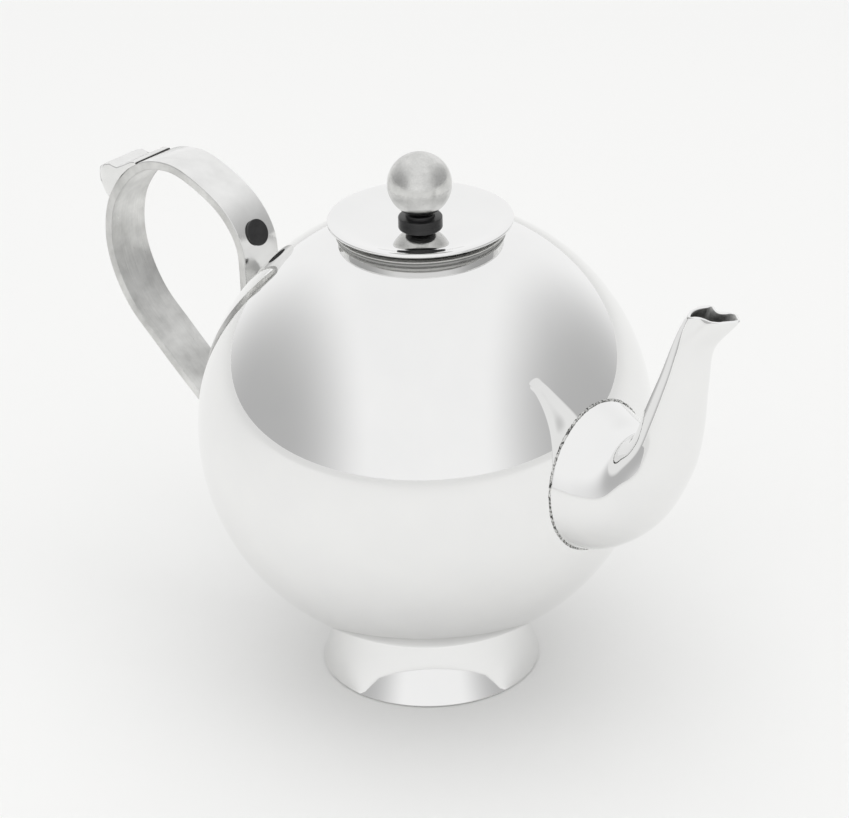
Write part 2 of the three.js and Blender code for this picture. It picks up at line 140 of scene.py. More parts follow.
def node(tree, kind, settings=None, inputs=None):
    """Adds one node. settings are its properties; inputs are socket values, or sockets to link from."""
    made = tree.nodes.new(kind)
    for key, value in (settings or {}).items():
        setattr(made, key, value)
    for key, value in (inputs or {}).items():
        if isinstance(value, bpy.types.NodeSocket):
            tree.links.new(value, made.inputs[key])
        else:
            made.inputs[key].default_value = value
    return made


def mixed(tree, how, amount, first, second):
    """Mixes two colours, and gives back the socket of the mixed one."""
    return node(tree, "ShaderNodeMix", {"data_type": "RGBA", "blend_type": how},
        {0: amount, 6: first, 7: second}).outputs[2]


def finish_named(name):
    """A new material with an empty tree and its output node."""
    material = bpy.data.materials.new(name)
    material.use_nodes = True
    material.node_tree.nodes.clear()
    out = node(material.node_tree, "ShaderNodeOutputMaterial")
    return material, material.node_tree, out


# Stainless steel buffed to a mirror: a bright, almost neutral reflection with no grain to see.
# The buffing wheel leaves a slow waviness of a few centimetres and faint hazy patches, which soften
# the edges of what it mirrors a little.
mirror_steel, tree, out = finish_named("mirror_buffed_stainless_steel")
place = node(tree, "ShaderNodeTexCoord").outputs["Object"]
haze = node(tree, "ShaderNodeTexNoise", None, {"Vector": place, "Scale": 38.0, "Detail": 3.0,
    "Roughness": 0.55})
haze_rough = node(tree, "ShaderNodeMapRange", None,
    {"Value": haze.outputs["Fac"], "From Min": 0.35, "From Max": 0.72, "To Min": 0.008, "To Max": 0.03})
wave = node(tree, "ShaderNodeTexNoise", None, {"Vector": place, "Scale": 26.0, "Detail": 1.0})
wave_bump = node(tree, "ShaderNodeBump", None, {"Height": wave.outputs["Fac"], "Strength": 0.05,
    "Distance": 0.0006})
tint = mixed(tree, "MIX", haze.outputs["Fac"], colour("#F4F4F3"), colour("#ECECEC"))
steel = node(tree, "ShaderNodeBsdfPrincipled", None,
    {"Base Color": tint, "Metallic": 1.0, "Roughness": haze_rough.outputs["Result"],
    "Normal": wave_bump.outputs["Normal"]})
tree.links.new(steel.outputs["BSDF"], out.inputs["Surface"])
pot_body.data.materials.append(mirror_steel)
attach(pot_body, "pot")
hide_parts("body_lower", "body_upper")

# ---------------------------------------------------------------------------------------------
# FOOT. A flared ring spun from 1.4 mm sheet, open underneath. Its upper edge is welded to the
# ball's underside and its lower edge is turned over and rounded where it stands on the table.
# ---------------------------------------------------------------------------------------------


def turned(profile, steps):
    """A spun piece: one vertex is drawn along the profile, each point a radius and a height in mm, and
    spun round the pot's axis."""
    start_piece()
    first_r, first_z = profile[0]
    bpy.ops.mesh.primitive_plane_add(size=0.001, location=(axis_x + first_r * MM, 0, first_z * MM))
    piece = bpy.context.object
    bpy.ops.object.mode_set(mode="EDIT")
    bpy.ops.mesh.select_all(action="SELECT")
    bpy.ops.mesh.merge(type="CENTER")
    for (r0, z0), (r1, z1) in zip(profile, profile[1:]):
        bpy.ops.mesh.extrude_vertices_move(TRANSFORM_OT_translate={"value": ((r1 - r0) * MM, 0,
            (z1 - z0) * MM)})
    bpy.ops.mesh.select_all(action="SELECT")
    bpy.ops.mesh.spin(steps=steps, angle=2 * math.pi, center=(axis_x, 0, 0), axis=(0, 0, 1))
    bpy.ops.mesh.select_all(action="SELECT")
    bpy.ops.mesh.remove_doubles(threshold=2e-6)
    bpy.ops.mesh.normals_make_consistent(inside=False)
    bpy.ops.object.mode_set(mode="OBJECT")
    return piece


def under_body(radius):
    """The height of the ball's underside at a radius, both in mm."""
    return (body_z - body_h * math.sqrt(1 - (radius * MM / body_r) ** 2)) / MM


foot = turned([(35.3, 0.5), (34.9, 1.6), (33.0, 7.2), (31.1, 13.4), (29.7, under_body(29.7) + 0.25),
    (28.5, under_body(28.5) + 0.25), (29.9, 13.2), (31.8, 6.8), (33.9, 0.4), (34.1, 0.05), (34.5, 0.0),
    (34.9, 0.0), (35.2, 0.15), (35.3, 0.5)], 160)
settle(foot, "foot_ring", 35)
foot.data.materials.append(mirror_steel)
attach(foot, "pot")
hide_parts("foot")

# ---------------------------------------------------------------------------------------------
# NECK COLLAR. A short ring turned from bar and welded into the opening: a low lip stands on the
# ball, and a thin sleeve goes down through it. The lathe's fine rings still show on its outside.
# ---------------------------------------------------------------------------------------------


def over_body(radius):
    """The height of the ball's top at a radius, both in mm."""
    return (body_z + body_h * math.sqrt(1 - (radius * MM / body_r) ** 2)) / MM


neck_top = over_body(26.3) + 1.3
collar = turned([(25.4, neck_top - 6.3), (25.4, over_body(25.4) - 0.1), (26.3, over_body(26.3) - 0.05),
    (26.3, neck_top - 0.25), (26.2, neck_top - 0.06), (26.0, neck_top), (24.5, neck_top),
    (24.3, neck_top - 0.2), (24.3, neck_top - 6.3), (25.4, neck_top - 6.3)], 160)
settle(collar, "neck_ring", 35)

# Stainless steel as the lathe leaves it: fine rings about 0.1 mm apart, drawn at 0.3 mm so that they
# show, which give a soft grey sheen with thin lighter and darker lines round the part.
lathe_steel, tree, out = finish_named("lathe_turned_stainless_steel")
place = node(tree, "ShaderNodeTexCoord").outputs["Object"]
stretch = node(tree, "ShaderNodeMapping", None, {"Vector": place, "Scale": (12.0, 12.0, 2600.0)})
rings = node(tree, "ShaderNodeTexNoise", None, {"Vector": stretch.outputs["Vector"], "Scale": 1.0,
    "Detail": 2.0})
ring_tint = node(tree, "ShaderNodeValToRGB", None, {"Fac": rings.outputs["Fac"]})
ring_tint.color_ramp.elements[0].position = 0.3
ring_tint.color_ramp.elements[0].color = colour("#525251")
ring_tint.color_ramp.elements[1].position = 0.75
ring_tint.color_ramp.elements[1].color = colour("#BCBCBA")
ring_bump = node(tree, "ShaderNodeBump", None, {"Height": rings.outputs["Fac"], "Strength": 0.25,
    "Distance": 0.0001})
steel = node(tree, "ShaderNodeBsdfPrincipled", None,
    {"Base Color": ring_tint.outputs["Color"], "Metallic": 1.0, "Roughness": 0.22,
    "Normal": ring_bump.outputs["Normal"]})
tree.links.new(steel.outputs["BSDF"], out.inputs["Surface"])
collar.data.materials.append(lathe_steel)
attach(collar, "pot")
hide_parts("neck_collar")

# ---------------------------------------------------------------------------------------------
# SPOUT. A swan neck of 1 mm stainless steel, raised from tube over a form: a full round elbow
# where it leaves the ball, a narrow neck, and a mouth pinched to a waist behind a pouring lip.
# It is welded to the ball all round its base, then buffed.
# ---------------------------------------------------------------------------------------------
spout_stations = [      # out and up from the base ring's centre, lean in degrees, height, width, in mm
    (0.0, -0.3, 3.2, 46.6, 47.0),
    (7.8, -0.6, 6.8, 40.4, 42.0),
    (16.4, 2.4, 19.1, 30.2, 36.0),
    (22.6, 10.2, 41.5, 22.0, 30.6),
    (26.3, 18.1, 62.9, 19.1, 24.8),
    (29.1, 28.4, 73.6, 18.1, 19.4),
    (32.4, 41.9, 81.0, 14.6, 14.6),
    (36.1, 55.2, 76.7, 12.2, 11.6),
    (43.2, 65.6, 92.0, 16.6, 9.6),
]


def between_stations(t):
    """The spout's five sizes at t stations from its base, on a smooth curve through all of them."""
    last = len(spout_stations) - 1
    i = min(last - 1, int(t))
    f = t - i
    p0, p1, p2, p3 = (spout_stations[max(0, min(last, i + k))] for k in (-1, 0, 1, 2))
    sizes = []
    for a, b, c, d in zip(p0, p1, p2, p3):
        start = c - b if i == 0 else (c - a) / 2
        end = c - b if i == last - 1 else (d - b) / 2
        from_b = b * (2 * f ** 3 - 3 * f ** 2 + 1) + start * (f ** 3 - 2 * f ** 2 + f)
        from_c = c * (3 * f ** 2 - 2 * f ** 3) + end * (f ** 3 - f ** 2)
        sizes.append(from_b + from_c)
    return sizes


ring_points = 112
ring_count = 65
start_piece()
bpy.ops.mesh.primitive_circle_add(vertices=ring_points, radius=MM, fill_type="NOTHING", location=(0, 0, 0))
spout = bpy.context.object
bpy.ops.object.mode_set(mode="EDIT")
bpy.ops.mesh.select_mode(type="VERT")
for k in range(ring_count):
    t = k * (len(spout_stations) - 1) / (ring_count - 1)
    out_mm, up_mm, lean, tall, wide = between_stations(t)
    middle = (spout_x + out_mm * MM, 0, spout_z + up_mm * MM)
    if k == 0:
        bpy.ops.mesh.select_all(action="SELECT")
        bpy.ops.transform.translate(value=middle)
    else:
        bpy.ops.mesh.select_all(action="DESELECT")
        bpy.ops.mesh.primitive_circle_add(vertices=ring_points, radius=MM, fill_type="NOTHING",
            location=middle)
    bpy.ops.transform.resize(value=(tall / 2, wide / 2, 1), center_override=middle)
    bpy.ops.transform.rotate(value=-math.radians(90 - lean), orient_axis="Y", center_override=middle)
for k in range(ring_count - 1):
    select_where("verts", lambda v: k * ring_points <= v.index < (k + 2) * ring_points)
    bpy.ops.mesh.select_mode(type="EDGE")
    bpy.ops.mesh.bridge_edge_loops()
mouth_start = 0.86 * (len(spout_stations) - 1)
mesh = bmesh.from_edit_mesh(spout.data)
mesh.verts.ensure_lookup_table()
for k in range(ring_count):
    t = k * (len(spout_stations) - 1) / (ring_count - 1)
    blend = max(0.0, (t - mouth_start) / (len(spout_stations) - 1 - mouth_start))
    blend = blend * blend * (3 - 2 * blend)
    out_mm, up_mm, lean, tall, wide = between_stations(t)
    for v in mesh.verts[k * ring_points:(k + 1) * ring_points]:
        seat = (spout_x + out_mm * MM - v.co.x) / (tall / 2 * MM)      # 1 at the back, -1 at the lip
        lobe = min(1.0, max(0.0, (seat - 0.25) / 0.6))
        beak = min(1.0, max(0.0, (-seat - 0.5) / 0.5))
        lobe, beak = lobe * lobe * (3 - 2 * lobe), beak * beak * (3 - 2 * beak)
        waist = 0.38 if v.co.y > 0 else 0.10
        pinch = 0.55 * lobe - waist * math.exp(-((seat - 0.12) / 0.26) ** 2) - 0.35 * beak
        v.co.y *= 1 + blend * pinch
bmesh.update_edit_mesh(spout.data)
bpy.ops.mesh.select_all(action="SELECT")
bpy.ops.mesh.normals_make_consistent(inside=False)
bpy.ops.object.mode_set(mode="OBJECT")
wall = spout.modifiers.new("sheet", "SOLIDIFY")
wall.thickness = 1.0 * MM
wall.offset = -1
wall.use_even_offset = True
wall.material_offset = 1
rim = spout.modifiers.new("rim", "BEVEL")
rim.width = 0.3 * MM
rim.segments = 2
rim.limit_method = "ANGLE"
rim.angle_limit = math.radians(60)

# Stainless steel inside the spout, where no wheel can reach: still dull and grey from the forming,
# with cloudy stains. The clouds are a few millimetres across.
unbuffed_steel, tree, out = finish_named("unbuffed_stainless_steel")
place = node(tree, "ShaderNodeTexCoord").outputs["Object"]
cloud = node(tree, "ShaderNodeTexNoise", None, {"Vector": place, "Scale": 420.0, "Detail": 4.0,
    "Roughness": 0.65})
cloud_tint = node(tree, "ShaderNodeValToRGB", None, {"Fac": cloud.outputs["Fac"]})
cloud_tint.color_ramp.elements[0].position = 0.35
cloud_tint.color_ramp.elements[0].color = colour("#858584")
cloud_tint.color_ramp.elements[1].position = 0.7
cloud_tint.color_ramp.elements[1].color = colour("#C4C4C2")
steel = node(tree, "ShaderNodeBsdfPrincipled", None,
    {"Base Color": cloud_tint.outputs["Color"], "Metallic": 0.55, "Roughness": 0.5})
tree.links.new(steel.outputs["BSDF"], out.inputs["Surface"])
spout.data.materials.append(mirror_steel)
spout.data.materials.append(unbuffed_steel)
apply_all(spout)
settle(spout, "swan_neck_spout", 50)
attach(spout, "pot")
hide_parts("spout")

# The weld round the spout's base: a thin, uneven bead of filler that the buffing could not reach
# into, so that small dark pits and bright nicks are left along it.
start_piece()
bpy.ops.mesh.primitive_torus_add(major_radius=23.35 * MM, minor_radius=0.34 * MM, major_segments=260,
    minor_segments=8, location=(spout_x + 0.15 * MM, 0, spout_z - 0.3 * MM),
    rotation=(0, math.pi / 2 - spout_rise, 0))
weld = bpy.context.object
bpy.ops.object.mode_set(mode="EDIT")
bpy.ops.mesh.select_all(action="SELECT")
bpy.ops.transform.vertex_random(offset=0.12 * MM, uniform=1.0, seed=7)
bpy.ops.object.mode_set(mode="OBJECT")
settle(weld, "spout_weld")

# Stainless filler left as welded: bright and dull grey in turns, with dark oxide in its pits. The
# real pits are about 0.2 mm, drawn at 0.7 mm so that they show.
weld_steel, tree, out = finish_named("stainless_weld_bead")
place = node(tree, "ShaderNodeTexCoord").outputs["Object"]
pits = node(tree, "ShaderNodeTexNoise", None, {"Vector": place, "Scale": 1100.0, "Detail": 2.0})
pit_tint = node(tree, "ShaderNodeValToRGB", None, {"Fac": pits.outputs["Fac"]})
pit_tint.color_ramp.elements[0].position = 0.40
pit_tint.color_ramp.elements[0].color = colour("#4C4C4B")
pit_tint.color_ramp.elements[1].position = 0.56
pit_tint.color_ramp.elements[1].color = colour("#D9D9D7")
pit_bump = node(tree, "ShaderNodeBump", None, {"Height": pits.outputs["Fac"], "Strength": 0.7,
    "Distance": 0.0004})
steel = node(tree, "ShaderNodeBsdfPrincipled", None,
    {"Base Color": pit_tint.outputs["Color"], "Metallic": 1.0, "Roughness": 0.28,
    "Normal": pit_bump.outputs["Normal"]})
tree.links.new(steel.outputs["BSDF"], out.inputs["Surface"])
weld.data.materials.append(weld_steel)
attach(weld, "pot")

# ---------------------------------------------------------------------------------------------
# HANDLE. A flat stainless bar, 16 by 3 mm, bent cold on its flat into an open loop. Both ends are
# welded to the ball. The faces keep a satin grain along the bar; the edges are buffed bright.
# ---------------------------------------------------------------------------------------------
strap_line = [      # behind the ball's back and above its centre, in mm
    (-5.5, 4.0), (-2.9, 18.0), (-2.9, 33.0), (-1.8, 44.9), (4.4, 54.1), (15.7, 61.1), (28.0, 64.6),
    (41.9, 61.2), (54.7, 47.2), (57.8, 33.8), (55.8, 22.1), (49.3, 10.3), (38.3, 0.0), (24.0, -12.2),
    (5.0, -27.1), (-20.2, -46.0),
]


def chord_curve(points, steps_each):
    """Points along a smooth curve through the given ones, its speed set by the root of each chord."""
    points = [Vector((p[0], p[1])) for p in points]
    points = [2 * points[0] - points[1]] + points + [2 * points[-1] - points[-2]]
    run = []
    for p0, p1, p2, p3 in zip(points, points[1:], points[2:], points[3:]):
        t0 = 0.0
        t1 = t0 + (p1 - p0).length ** 0.5
        t2 = t1 + (p2 - p1).length ** 0.5
        t3 = t2 + (p3 - p2).length ** 0.5
        for k in range(steps_each):
            t = t1 + (t2 - t1) * k / steps_each
            a1 = p0 * ((t1 - t) / (t1 - t0)) + p1 * ((t - t0) / (t1 - t0))
            a2 = p1 * ((t2 - t) / (t2 - t1)) + p2 * ((t - t1) / (t2 - t1))
            a3 = p2 * ((t3 - t) / (t3 - t2)) + p3 * ((t - t2) / (t3 - t2))
            b1 = a1 * ((t2 - t) / (t2 - t0)) + a2 * ((t - t0) / (t2 - t0))
            b2 = a2 * ((t3 - t) / (t3 - t1)) + a3 * ((t - t1) / (t3 - t1))
            run.append(b1 * ((t2 - t) / (t2 - t1)) + b2 * ((t - t1) / (t2 - t1)))
    run.append(points[-2])
    return run


strap_wide = 16 * MM
strap_thick = 3 * MM
strap_curve = chord_curve(strap_line, 9)
strap_run = [Vector((axis_x / MM - body_r / MM - p.x, 0, body_z / MM + p.y)) * MM for p in strap_curve]
start_piece()
bpy.ops.mesh.primitive_plane_add(size=strap_wide, location=strap_run[0])
strap = bpy.context.object
bpy.ops.object.mode_set(mode="EDIT")
select_where("verts", lambda v: v.co.x > 0)
bpy.ops.mesh.delete(type="VERT")
bpy.ops.mesh.select_all(action="SELECT")
bpy.ops.transform.translate(value=(strap_wide / 2, 0, 0))
for here, there in zip(strap_run, strap_run[1:]):
    bpy.ops.mesh.extrude_edges_move(TRANSFORM_OT_translate={"value": there - here})
bpy.ops.mesh.select_all(action="SELECT")
bpy.ops.mesh.normals_make_consistent(inside=False)
bpy.ops.object.mode_set(mode="OBJECT")
bar = strap.modifiers.new("bar", "SOLIDIFY")
bar.thickness = strap_thick
bar.offset = 0
bar.use_even_offset = True
bar.material_offset = 1
bar.material_offset_rim = 2
arris = strap.modifiers.new("arris", "BEVEL")
arris.width = 0.38 * MM
arris.segments = 3
arris.limit_method = "ANGLE"
arris.angle_limit = math.radians(50)
start_piece()
bpy.ops.mesh.primitive_uv_sphere_add(segments=128, ring_count=64, radius=body_r - 0.45 * MM,
    location=(axis_x, 0, body_z))
ball_cutter = bpy.context.object
bpy.ops.transform.resize(value=(1, 1, body_h / body_r))
trim = strap.modifiers.new("trim", "BOOLEAN")
trim.operation = "DIFFERENCE"
trim.solver = "EXACT"
trim.object = ball_cutter

# Stainless bar with a satin belt finish: soft grey, grain lines along the bar, and a cloudy mottle
# from the bending. The real lines are under 0.1 mm; they are drawn at 0.35 mm so that they show.
satin_steel, tree, out = finish_named("belt_ground_stainless_steel")
place = node(tree, "ShaderNodeTexCoord").outputs["Object"]
across = node(tree, "ShaderNodeMapping", None, {"Vector": place, "Scale": (60.0, 2400.0, 60.0)})
grain = node(tree, "ShaderNodeTexNoise", None, {"Vector": across.outputs["Vector"], "Scale": 1.0,
    "Detail": 3.0, "Roughness": 0.6})
mottle = node(tree, "ShaderNodeTexNoise", None, {"Vector": place, "Scale": 75.0, "Detail": 4.0,
    "Roughness": 0.6})
mottle_tint = node(tree, "ShaderNodeValToRGB", None, {"Fac": mottle.outputs["Fac"]})
mottle_tint.color_ramp.elements[0].position = 0.32
mottle_tint.color_ramp.elements[0].color = colour("#C6C6C4")
mottle_tint.color_ramp.elements[1].position = 0.68
mottle_tint.color_ramp.elements[1].color = colour("#EEEEEC")
grain_tint = mixed(tree, "MULTIPLY", 0.20, mottle_tint.outputs["Color"], grain.outputs["Fac"])
grain_rough = node(tree, "ShaderNodeMapRange", None,
    {"Value": grain.outputs["Fac"], "To Min": 0.22, "To Max": 0.40})
grain_bump = node(tree, "ShaderNodeBump", None, {"Height": grain.outputs["Fac"], "Strength": 0.22,
    "Distance": 0.0001})
steel = node(tree, "ShaderNodeBsdfPrincipled", None,
    {"Base Color": grain_tint, "Metallic": 1.0, "Roughness": grain_rough.outputs["Result"],
    "Normal": grain_bump.outputs["Normal"]})
tree.links.new(steel.outputs["BSDF"], out.inputs["Surface"])

# The outside of the bar and its edges have been to the buffing wheel, but less than the ball has:
# bright, with fine lines still in it along the bar and a slight softness.
buffed_bar, tree, out = finish_named("half_buffed_stainless_bar")
place = node(tree, "ShaderNodeTexCoord").outputs["Object"]
across = node(tree, "ShaderNodeMapping", None, {"Vector": place, "Scale": (40.0, 2000.0, 40.0)})
lines = node(tree, "ShaderNodeTexNoise", None, {"Vector": across.outputs["Vector"], "Scale": 1.0,
    "Detail": 2.0})
wear = node(tree, "ShaderNodeTexNoise", None, {"Vector": place, "Scale": 160.0, "Detail": 4.0})
wear_rough = node(tree, "ShaderNodeMapRange", None,
    {"Value": wear.outputs["Fac"], "From Min": 0.35, "From Max": 0.7, "To Min": 0.10, "To Max": 0.20})
line_bump = node(tree, "ShaderNodeBump", None, {"Height": lines.outputs["Fac"], "Strength": 0.10,
    "Distance": 0.0001})
line_tint = mixed(tree, "MIX", wear.outputs["Fac"], colour("#F3F3F2"), colour("#DEDEDD"))
steel = node(tree, "ShaderNodeBsdfPrincipled", None,
    {"Base Color": line_tint, "Metallic": 1.0, "Roughness": wear_rough.outputs["Result"],
    "Normal": line_bump.outputs["Normal"]})
tree.links.new(steel.outputs["BSDF"], out.inputs["Surface"])
for finish in (buffed_bar, satin_steel, satin_steel):
    strap.data.materials.append(finish)
apply_all(strap)
bpy.data.objects.remove(ball_cutter)
settle(strap, "strap_handle", 30)
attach(strap, "pot")
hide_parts("handle_strap")

# ---------------------------------------------------------------------------------------------
# THUMB REST. A solid beak filed from bar and brazed on the handle's shoulder: a small step at its
# front edge, a scooped top for the thumb, and a nose that is rounded in plan.
# ---------------------------------------------------------------------------------------------
rest_outline = [      # from the pot's axis and above the table, in mm
    (-114.7, 146.0), (-115.3, 147.0), (-117.2, 146.6), (-120.6, 144.6), (-124.0, 142.9), (-125.8, 143.1),
    (-127.3, 143.4), (-129.5, 142.6), (-131.6, 141.6), (-133.4, 140.3), (-134.6, 138.7), (-134.9, 137.3),
    (-133.6, 135.6), (-130.0, 132.6), (-128.3, 130.9), (-127.2, 132.9), (-125.0, 136.5), (-122.0, 140.4),
    (-118.5, 143.6),
]
start_piece()
bpy.ops.mesh.primitive_plane_add(size=MM, location=(axis_x + rest_outline[0][0] * MM, -8 * MM,
    rest_outline[0][1] * MM))
rest = bpy.context.object
bpy.ops.object.mode_set(mode="EDIT")
bpy.ops.mesh.select_all(action="SELECT")
bpy.ops.mesh.merge(type="CENTER")
for (x0, z0), (x1, z1) in zip(rest_outline, rest_outline[1:]):
    bpy.ops.mesh.extrude_vertices_move(TRANSFORM_OT_translate={"value": ((x1 - x0) * MM, 0, (z1 - z0) * MM)})
bpy.ops.mesh.select_all(action="SELECT")
bpy.ops.mesh.edge_face_add()
for _ in range(16):
    bpy.ops.mesh.extrude_region_move(TRANSFORM_OT_translate={"value": (0, MM, 0)})
bpy.ops.object.mode_set(mode="OBJECT")
bpy.ops.object.transform_apply(location=True)
nose_start = axis_x - 129.2 * MM
for v in rest.data.vertices:
    reach = 5.8 * MM * max(0.0, 1 - abs(v.co.y / (8.02 * MM)) ** 2.6) ** 0.4
    v.co.x = max(v.co.x, nose_start - reach)
bpy.ops.object.mode_set(mode="EDIT")
bpy.ops.mesh.select_all(action="SELECT")
bpy.ops.mesh.remove_doubles(threshold=1e-6)
bpy.ops.mesh.normals_make_consistent(inside=False)
bpy.ops.object.mode_set(mode="OBJECT")
soften = rest.modifiers.new("soften", "BEVEL")
soften.width = 0.45 * MM
soften.segments = 3
soften.limit_method = "ANGLE"
soften.angle_limit = math.radians(40)
apply_all(rest)
settle(rest, "thumb_beak", 35)
rest.data.materials.append(buffed_bar)
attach(rest, "pot")
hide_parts("thumb_rest")

# A thin near-black strip lies across the bar in front of the rest's step. It is painted shadow that stands
# for the shade in the gap at the joint, and is not a part of the pot. It is taken to be brazing alloy with
# its flux burnt on, which is a guess.
start_piece()
bpy.ops.mesh.primitive_cube_add(size=MM, location=(axis_x - 114.75 * MM, 0, 146.55 * MM),
    rotation=(0, math.radians(-33), 0))
braze = bpy.context.object
braze.scale = (0.8, 15.8, 0.5)
bpy.ops.object.transform_apply(location=False, rotation=False, scale=True)
round_line = braze.modifiers.new("edge", "BEVEL")
round_line.width = 0.15 * MM
round_line.segments = 2
apply_all(braze)
settle(braze, "rest_braze_line", 40)

# Painted shadow for the gap at the joint: nearly black, dull and uneven. Its grain is a few tenths of a
# millimetre.
burnt_flux, tree, out = finish_named("burnt_flux_on_silver_solder")
place = node(tree, "ShaderNodeTexCoord").outputs["Object"]
crust = node(tree, "ShaderNodeTexNoise", None, {"Vector": place, "Scale": 1400.0, "Detail": 2.0})
crust_tint = node(tree, "ShaderNodeValToRGB", None, {"Fac": crust.outputs["Fac"]})
crust_tint.color_ramp.elements[0].position = 0.35
crust_tint.color_ramp.elements[0].color = colour("#0E0E0E")
crust_tint.color_ramp.elements[1].position = 0.8
crust_tint.color_ramp.elements[1].color = colour("#4A4947")
solder = node(tree, "ShaderNodeBsdfPrincipled", None,
    {"Base Color": crust_tint.outputs["Color"], "Roughness": 0.6})
tree.links.new(solder.outputs["BSDF"], out.inputs["Surface"])
# The strip takes the painted shadow's near-black material.
braze.data.materials.append(burnt_flux)
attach(braze, "pot")

# ---------------------------------------------------------------------------------------------
# HANDLE PLUG. A black moulded button, pressed from outside into a hole through the handle where it
# comes up from the ball.
# ---------------------------------------------------------------------------------------------
plug_z = 130.5 * MM
below = max(i for i in range(60) if strap_run[i].z < plug_z and strap_run[i].x > axis_x - 80 * MM)
share = (plug_z - strap_run[below].z) / (strap_run[below + 1].z - strap_run[below].z)
plug_centre = strap_run[below].lerp(strap_run[below + 1], share)
plug_along = (strap_run[below + 1] - strap_run[below]).normalized()
plug_out = Vector((plug_along.z, 0, -plug_along.x))
start_piece()
bpy.ops.mesh.primitive_cylinder_add(vertices=64, radius=4.4 * MM, depth=0.9 * MM,
    location=plug_centre + plug_out * 1.95 * MM, rotation=(0, math.atan2(plug_out.x, plug_out.z), 0))
plug = bpy.context.object
bpy.ops.object.mode_set(mode="EDIT")
select_where("faces", lambda f: f.normal.z > 0.9)
bpy.ops.mesh.inset(thickness=0.55 * MM)
bpy.ops.object.mode_set(mode="OBJECT")
round_edge = plug.modifiers.new("edge", "BEVEL")
round_edge.width = 0.3 * MM
round_edge.segments = 3
round_edge.limit_method = "ANGLE"
round_edge.angle_limit = math.radians(50)
apply_all(plug)
settle(plug, "handle_button", 30)

# Black glass-filled nylon, moulded: near black, a soft gloss, and a slight orange-peel from the tool.
black_nylon, tree, out = finish_named("moulded_black_nylon")
place = node(tree, "ShaderNodeTexCoord").outputs["Object"]
peel = node(tree, "ShaderNodeTexNoise", None, {"Vector": place, "Scale": 900.0, "Detail": 2.0})
dust = node(tree, "ShaderNodeTexNoise", None, {"Vector": place, "Scale": 220.0, "Detail": 5.0,
    "Roughness": 0.7})
dust_tint = node(tree, "ShaderNodeValToRGB", None, {"Fac": dust.outputs["Fac"]})
dust_tint.color_ramp.elements[0].position = 0.35
dust_tint.color_ramp.elements[0].color = colour("#121213")
dust_tint.color_ramp.elements[1].position = 0.8
dust_tint.color_ramp.elements[1].color = colour("#2B2B2C")
peel_rough = node(tree, "ShaderNodeMapRange", None,
    {"Value": dust.outputs["Fac"], "To Min": 0.22, "To Max": 0.42})
peel_bump = node(tree, "ShaderNodeBump", None, {"Height": peel.outputs["Fac"], "Strength": 0.2,
    "Distance": 0.0002})
nylon = node(tree, "ShaderNodeBsdfPrincipled", None,
    {"Base Color": dust_tint.outputs["Color"], "Roughness": peel_rough.outputs["Result"], "IOR": 1.53,
    "Normal": peel_bump.outputs["Normal"]})
tree.links.new(nylon.outputs["BSDF"], out.inputs["Surface"])
plug.data.materials.append(black_nylon)
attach(plug, "pot")
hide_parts("handle_plug")

# ---------------------------------------------------------------------------------------------
# TEA BASKET. A lift-out cup for the leaves: a flat pressed rim that rests on the neck ring, and a
# tube of 0.6 mm sheet with rows of upright slots, closed by a pierced floor.
# ---------------------------------------------------------------------------------------------
rim_top = neck_top + 0.6
basket_rim = turned([(26.8, neck_top + 0.15), (26.8, rim_top - 0.15), (26.6, rim_top - 0.02),
    (26.4, rim_top), (22.4, rim_top), (22.0, rim_top - 0.3), (22.0, neck_top + 0.02),
    (26.6, neck_top + 0.02), (26.8, neck_top + 0.15)], 160)
settle(basket_rim, "basket_flange", 35)

basket_floor_z = rim_top - 88
slot_tall = 11
slot_pitch = 17
slot_rows = 4
slot_middle = neck_top - 12.3 - slot_tall / 2      # the middle of the top row
basket_sheet = 0.6
levels = [basket_floor_z + basket_sheet]
for row in reversed(range(slot_rows)):
    row_middle = slot_middle - row * slot_pitch
    levels += [row_middle - slot_tall / 2, row_middle + slot_tall / 2]
levels.append(rim_top)
start_piece()
bpy.ops.mesh.primitive_circle_add(vertices=144, radius=21.9 * MM, fill_type="NOTHING",
    location=(axis_x, 0, levels[0] * MM))
basket = bpy.context.object
bpy.ops.object.mode_set(mode="EDIT")
for low, high in zip(levels, levels[1:]):
    bpy.ops.mesh.extrude_edges_move(TRANSFORM_OT_translate={"value": (0, 0, (high - low) * MM)})


def is_slot(face):
    """True for a face that stands where a slot is pierced: twelve columns of four rows, 2 mm wide."""
    middle = face.calc_center_median()
    height = levels[0] + middle.z * 1000
    in_row = any(abs(height - (slot_middle - row * slot_pitch)) < 5 for row in range(slot_rows))
    turn = math.degrees(math.atan2(middle.y, middle.x)) % 30
    return in_row and abs(turn - 15) < 2.6


select_where("faces", is_slot)
bpy.ops.mesh.delete(type="FACE")
bpy.ops.mesh.select_all(action="SELECT")
bpy.ops.mesh.normals_make_consistent(inside=False)
bpy.ops.object.mode_set(mode="OBJECT")
sheet = basket.modifiers.new("sheet", "SOLIDIFY")
sheet.thickness = basket_sheet * MM
sheet.offset = -1
apply_all(basket)
settle(basket, "basket_tube", 30)

